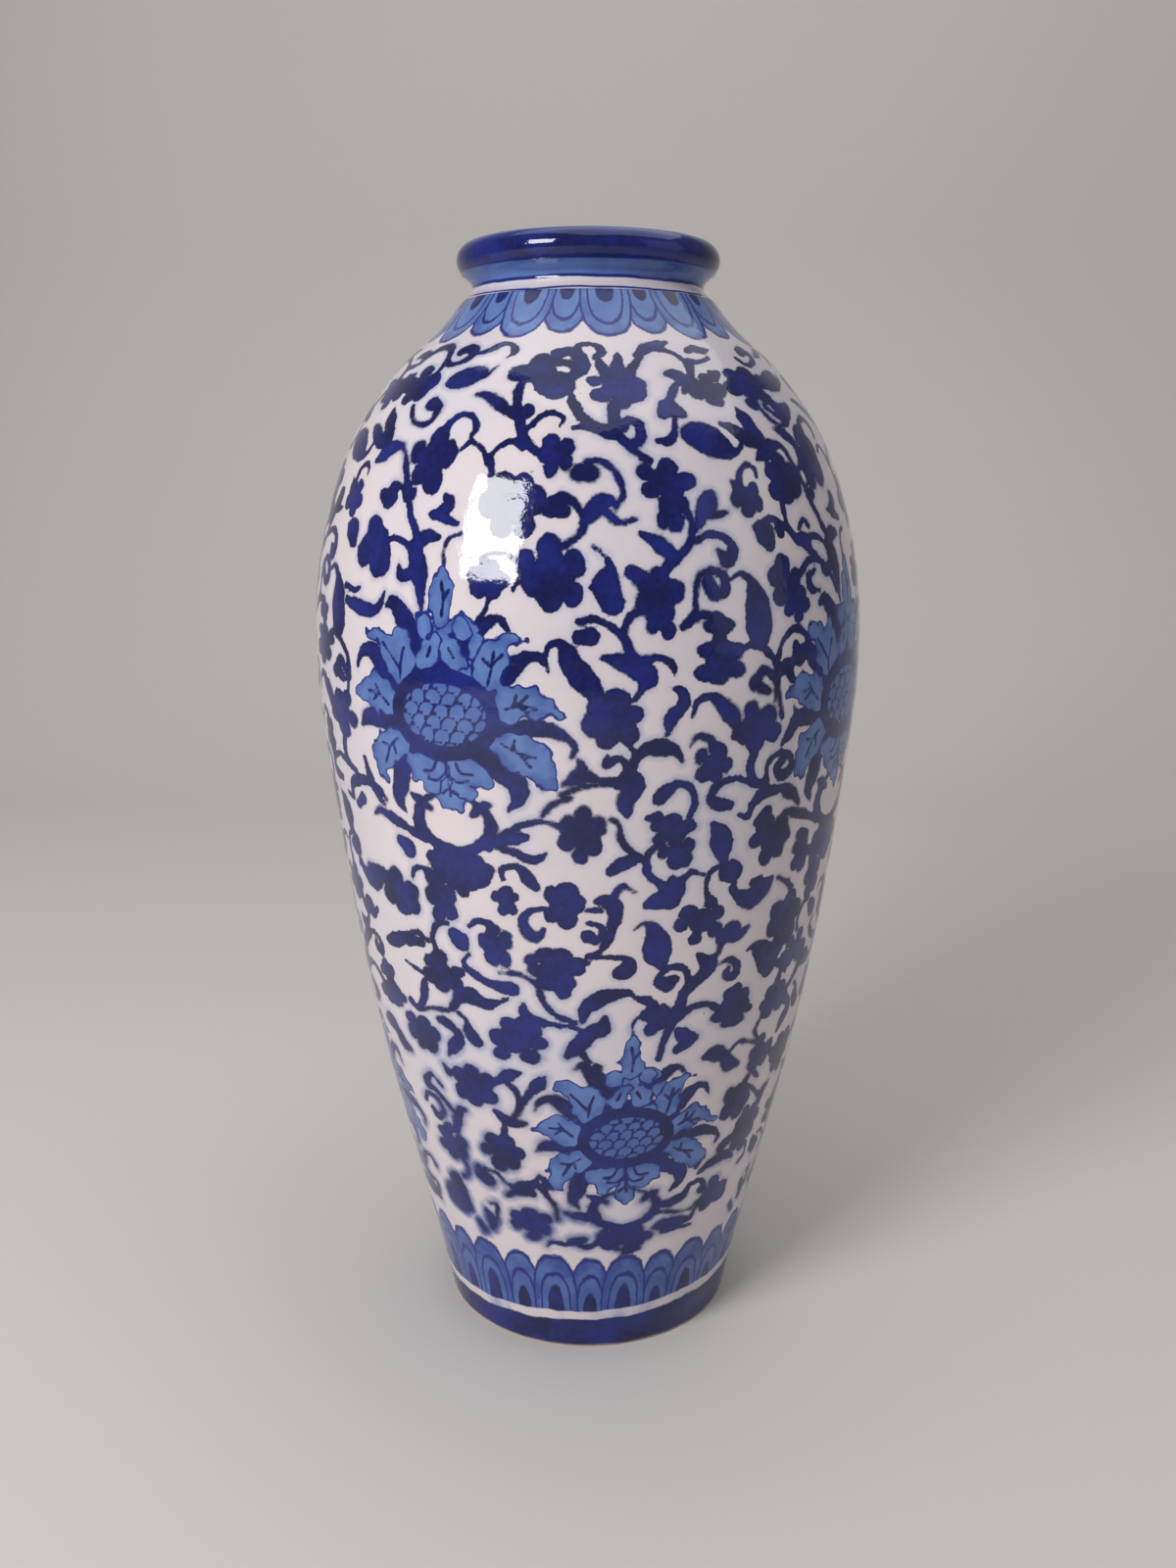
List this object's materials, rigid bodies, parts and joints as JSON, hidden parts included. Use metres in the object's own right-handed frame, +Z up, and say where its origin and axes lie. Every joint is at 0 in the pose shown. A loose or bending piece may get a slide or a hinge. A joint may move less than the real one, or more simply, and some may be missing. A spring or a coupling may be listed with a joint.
{
  "type": "baluster jar",
  "caption": "Tall open baluster jar of luted ceramic sections with a short neck, a rolled rim and a ring foot, painted in blue on white.",
  "frame": {"origin": "centre of the foot, on the surface the jar stands on", "axes": "+Z up along the jar's turning axis"},
  "size_m": [0.225, 0.225, 0.45],
  "materials": {
    "painted_glaze": "gloss, brush-painted scrolls in underglaze blue on white",
    "dark_cobalt_glaze": "gloss, brushed dark blue",
    "pale_cobalt_glaze": "gloss, washed pale blue",
    "clear_glaze": "gloss, plain white",
    "fired_slip": "matt, unglazed"
  },
  "bodies": {
    "root": {"foot_ring": "dark_cobalt_glaze", "floor_disc": "clear_glaze", "lower_wall": "painted_glaze", "middle_wall": "painted_glaze", "belly_wall": "painted_glaze", "shoulder_wall": "painted_glaze", "neck_collar": "pale_cobalt_glaze", "rolled_rim": "dark_cobalt_glaze", "slip_floor": "fired_slip", "slip_foot": "fired_slip", "slip_lower": "fired_slip", "slip_middle": "fired_slip", "slip_belly": "fired_slip", "slip_neck": "fired_slip", "slip_rim": "fired_slip"}
  },
  "joints": []
}
